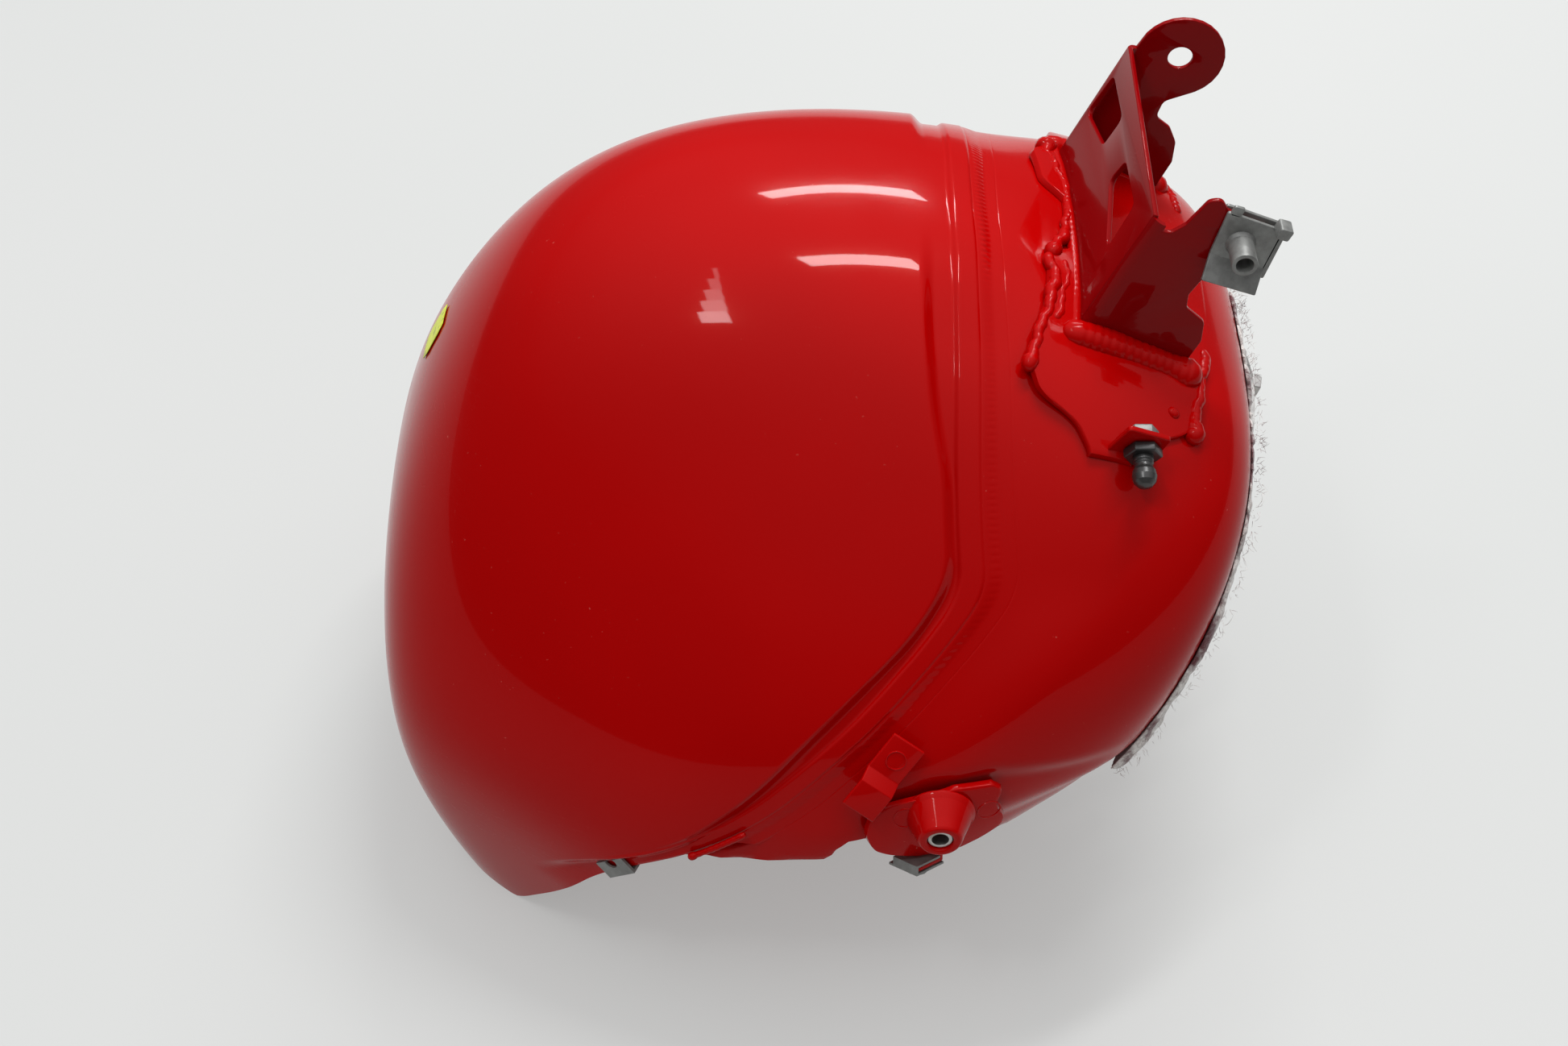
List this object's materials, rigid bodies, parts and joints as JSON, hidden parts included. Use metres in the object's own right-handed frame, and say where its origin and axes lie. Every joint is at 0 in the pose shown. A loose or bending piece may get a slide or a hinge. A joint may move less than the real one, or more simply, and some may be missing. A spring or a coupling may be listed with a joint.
{
  "type": "motorcycle fuel tank",
  "caption": "Painted steel motorcycle fuel tank with welded two-piece skin, slotted rear bracket, side bosses, lockable filler cap and underside pump flange.",
  "frame": {"origin": "centre of the bounding box, on the surface the tank stands on", "axes": "The tank stands on its front end, as in the picture. +Z points to the seat end, +X to the tank's underside and +Y to the bike's right side. Fitted on a bike, +Z points to the rear and +X points down."},
  "size_m": [0.3536, 0.3588, 0.3151],
  "materials": {
    "red_paint": "deep gloss red with clear coat",
    "plain_steel": "plain drawn steel",
    "zinc_plate": "dull zinc plating",
    "cap_alloy": "satin turned alloy",
    "black_rubber": "matt rubber",
    "black_plastic": "matt moulded plastic",
    "black_steel": "black oxide steel",
    "felt": "fluffy heat felt, red overspray on its edge",
    "yellow_label": "plain yellow label"
  },
  "bodies": {
    "tank": {"outer_shell": "red_paint", "lower_pan": "red_paint", "seam_weld": "red_paint", "filler_recess": "red_paint", "rear_bracket": "red_paint", "rear_base_plate": "red_paint", "rear_nut_clip": "zinc_plate", "hook_bracket_left": "red_paint", "hook_bracket_right": "red_paint", "boss_plate_left": "red_paint", "boss_plate_right": "red_paint", "boss_insert_left": "plain_steel", "boss_insert_right": "plain_steel", "tab_clip_left": "zinc_plate", "tab_clip_right": "zinc_plate", "rim_clip_left": "zinc_plate", "rim_clip_right": "zinc_plate", "ball_stud": "black_steel", "stud_nut": "zinc_plate", "front_bracket": "red_paint", "front_bush_left": "black_rubber", "front_bush_right": "black_rubber", "front_sleeve_left": "plain_steel", "front_sleeve_right": "plain_steel", "drain_pipe": "plain_steel", "breather_pipe": "plain_steel", "slosh_baffle": "plain_steel", "pump_ring": "plain_steel", "pump_seal": "black_rubber", "pump_cover": "plain_steel", "pump_body": "black_plastic", "pump_strainer": "black_plastic", "outlet_elbow": "black_plastic", "pump_connector": "black_plastic", "pump_bolt_1": "plain_steel", "pump_bolt_2": "plain_steel", "pump_bolt_3": "plain_steel", "pump_bolt_4": "plain_steel", "pump_bolt_5": "plain_steel", "level_sender": "black_plastic", "cap_base": "cap_alloy", "cap_hinge_pin": "plain_steel", "cap_screw_1": "plain_steel", "cap_screw_2": "plain_steel", "cap_screw_3": "plain_steel", "cap_screw_4": "plain_steel", "cap_screw_5": "plain_steel", "heat_pad": "felt", "inspection_sticker": "yellow_label"},
    "lid": {"cap_lid": "cap_alloy", "cap_gasket": "black_rubber"},
    "key_flap": {"key_cover": "black_plastic"},
    "lock": {"lock_barrel": "plain_steel"},
    "latch": {"cap_latch": "plain_steel"},
    "level": {"level_arm": "plain_steel", "level_float": "black_plastic"}
  },
  "joints": [
    {"name": "lid_hinge", "type": "hinge", "parent": "tank", "child": "lid", "pos_m": [-0.16976, 0, 0.05089], "axis": [0, -1, 0], "range_deg": [0, 95]},
    {"name": "key_cover_hinge", "type": "hinge", "parent": "lid", "child": "key_flap", "pos_m": [-0.17351, 0, 0.07486], "axis": [0, -1, 0], "range_deg": [0, 100]},
    {"name": "lock_turn", "type": "hinge", "parent": "lid", "child": "lock", "pos_m": [-0.16388, 0, 0.08805], "axis": [-0.9962, 0, -0.0872], "range_deg": [0, 90]},
    {"name": "latch_slide", "type": "slide", "parent": "lid", "child": "latch", "axis": [-0.0872, 0, 0.9962], "range_m": [0, 0.0072]},
    {"name": "level_swing", "type": "hinge", "parent": "tank", "child": "level", "pos_m": [0.10883, 0.031, 0.14911], "axis": [0, -1, 0], "range_deg": [0, 50]}
  ],
  "couplings": [
    {"joint": "latch_slide", "follows": "lock_turn", "m_per_rad": 0.00458}
  ]
}
